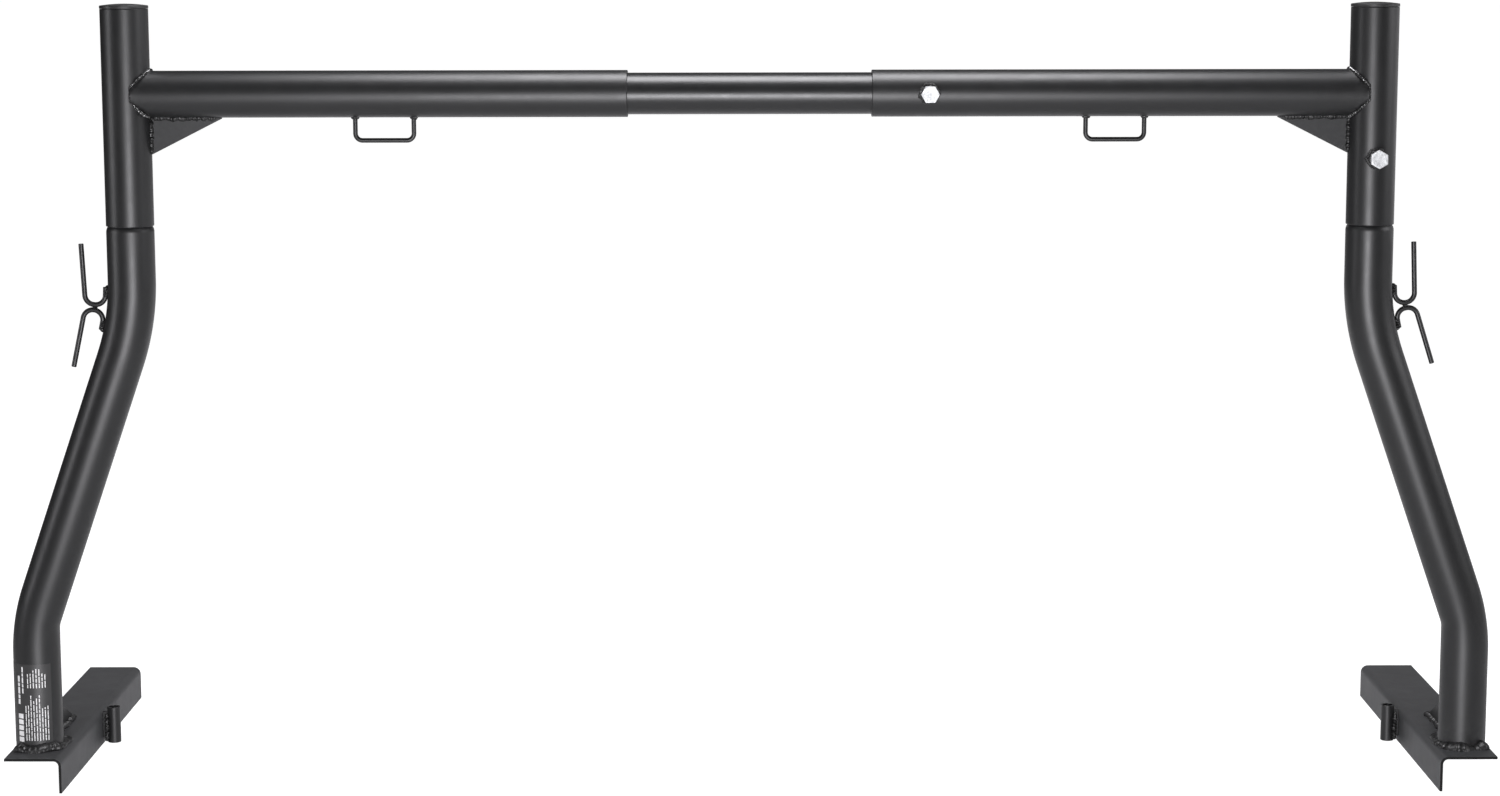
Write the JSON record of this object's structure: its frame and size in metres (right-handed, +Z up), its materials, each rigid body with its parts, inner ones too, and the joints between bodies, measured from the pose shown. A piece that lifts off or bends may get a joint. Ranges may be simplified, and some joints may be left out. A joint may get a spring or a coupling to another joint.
{
  "type": "headache rack",
  "caption": "Truck headache rack: telescoping crossbar on swan-neck legs with bed-rail feet, tie-down loops and rope hooks.",
  "frame": {"origin": "level with the bottom edges of the rails' vertical flanges, midway between the two rails and at their mid-length", "axes": "+X to the right of the truck along the crossbar, +Y towards the tailgate along the bed rails, +Z up"},
  "size_m": [1.614, 0.438, 0.847],
  "materials": {
    "black_powder_coat": "semi-matte black powder coat",
    "zinc_plate": "bright zinc plating",
    "black_plastic": "moulded black plastic, fine grain",
    "label_film": "printed vinyl label, satin"
  },
  "bodies": {
    "inner_tube": {"crossbar_inner_tube": "black_powder_coat"},
    "left_crossbar_bolt_body": {"left_crossbar_bolt": "zinc_plate"},
    "left_post_bolt_body": {"left_post_bolt": "zinc_plate"},
    "left_frame": {"left_upper_post": "black_powder_coat", "left_post_cap": "black_plastic", "left_crossbar_sleeve": "black_powder_coat", "left_crossbar_gusset": "black_powder_coat", "left_tie_down_loop": "black_powder_coat", "left_crossbar_weld_nut": "black_powder_coat", "left_post_weld_nut": "black_powder_coat"},
    "left_leg_body": {"left_leg": "black_powder_coat", "left_upper_rope_hook": "black_powder_coat", "left_lower_rope_hook": "black_powder_coat", "left_base_rail": "black_powder_coat", "left_foot_gusset": "black_powder_coat", "left_jbolt_guide": "black_powder_coat", "leg_label": "label_film"},
    "right_crossbar_bolt_body": {"right_crossbar_bolt": "zinc_plate"},
    "right_post_bolt_body": {"right_post_bolt": "zinc_plate"},
    "right_frame": {"right_upper_post": "black_powder_coat", "right_post_cap": "black_plastic", "right_crossbar_sleeve": "black_powder_coat", "right_crossbar_gusset": "black_powder_coat", "right_tie_down_loop": "black_powder_coat", "right_crossbar_weld_nut": "black_powder_coat", "right_post_weld_nut": "black_powder_coat"},
    "right_leg_body": {"right_leg": "black_powder_coat", "right_upper_rope_hook": "black_powder_coat", "right_lower_rope_hook": "black_powder_coat", "right_base_rail": "black_powder_coat", "right_foot_gusset": "black_powder_coat", "right_jbolt_guide": "black_powder_coat"}
  },
  "joints": [
    {"name": "left_width_slide", "type": "slide", "parent": "inner_tube", "child": "left_frame", "axis": [-1, 0, 0], "range_m": [-0.129, 0.155]},
    {"name": "left_leg_swivel", "type": "hinge", "parent": "left_frame", "child": "left_leg_body", "pos_m": [-0.665, -0.16, 0.6105], "axis": [0, 0, 1], "continuous": true},
    {"name": "left_crossbar_bolt_screw", "type": "slide", "parent": "left_frame", "child": "left_crossbar_bolt_body", "axis": [0, 1, 0], "range_m": [0, 0.006]},
    {"name": "left_post_bolt_screw", "type": "slide", "parent": "left_frame", "child": "left_post_bolt_body", "axis": [0, 1, 0], "range_m": [0, 0.006]},
    {"name": "right_width_slide", "type": "slide", "parent": "inner_tube", "child": "right_frame", "axis": [1, 0, 0], "range_m": [-0.129, 0.155]},
    {"name": "right_leg_swivel", "type": "hinge", "parent": "right_frame", "child": "right_leg_body", "pos_m": [0.665, -0.16, 0.6105], "axis": [0, 0, 1], "continuous": true},
    {"name": "right_crossbar_bolt_screw", "type": "slide", "parent": "right_frame", "child": "right_crossbar_bolt_body", "axis": [0, -1, 0], "range_m": [0, 0.006]},
    {"name": "right_post_bolt_screw", "type": "slide", "parent": "right_frame", "child": "right_post_bolt_body", "axis": [0, -1, 0], "range_m": [0, 0.006]}
  ]
}
